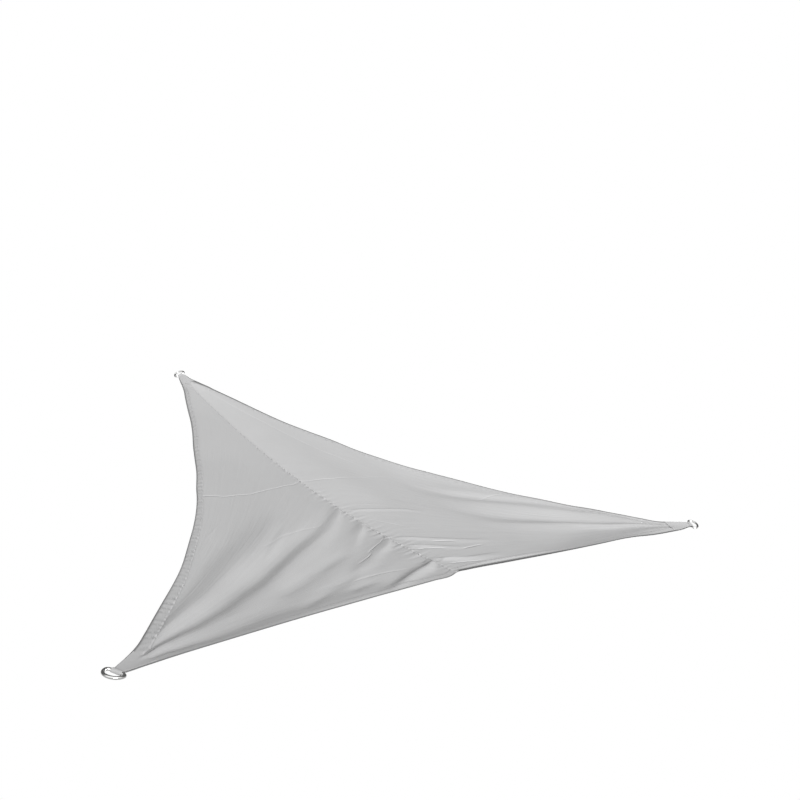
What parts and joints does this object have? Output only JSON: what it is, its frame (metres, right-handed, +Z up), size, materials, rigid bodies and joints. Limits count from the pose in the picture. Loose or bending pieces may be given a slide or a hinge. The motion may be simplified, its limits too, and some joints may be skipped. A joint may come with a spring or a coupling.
{
  "type": "shade sail",
  "caption": "Triangular cloth shade sail as hung: a sagging sheet with hollow edges, a centre seam, and a steel ring at every corner.",
  "frame": {"origin": "the bearing point inside the bow of the high corner's D-ring, where a hook or shackle pulls", "axes": "+Z up as hung. +X level, from the near low corner towards the far corner. The high corner lies on the +Y side of the low edge"},
  "size_m": [3.0628, 2.4602, 1.2106],
  "materials": {
    "cloth": "plain woven grey polyester, matt",
    "ring_steel": "polished stainless steel wire"
  },
  "bodies": {
    "root": {"panel_near": "cloth", "panel_far": "cloth", "patch_near": "cloth", "patch_far": "cloth", "patch_high": "cloth", "ring_near": "ring_steel", "ring_far": "ring_steel", "ring_high": "ring_steel"}
  },
  "joints": []
}
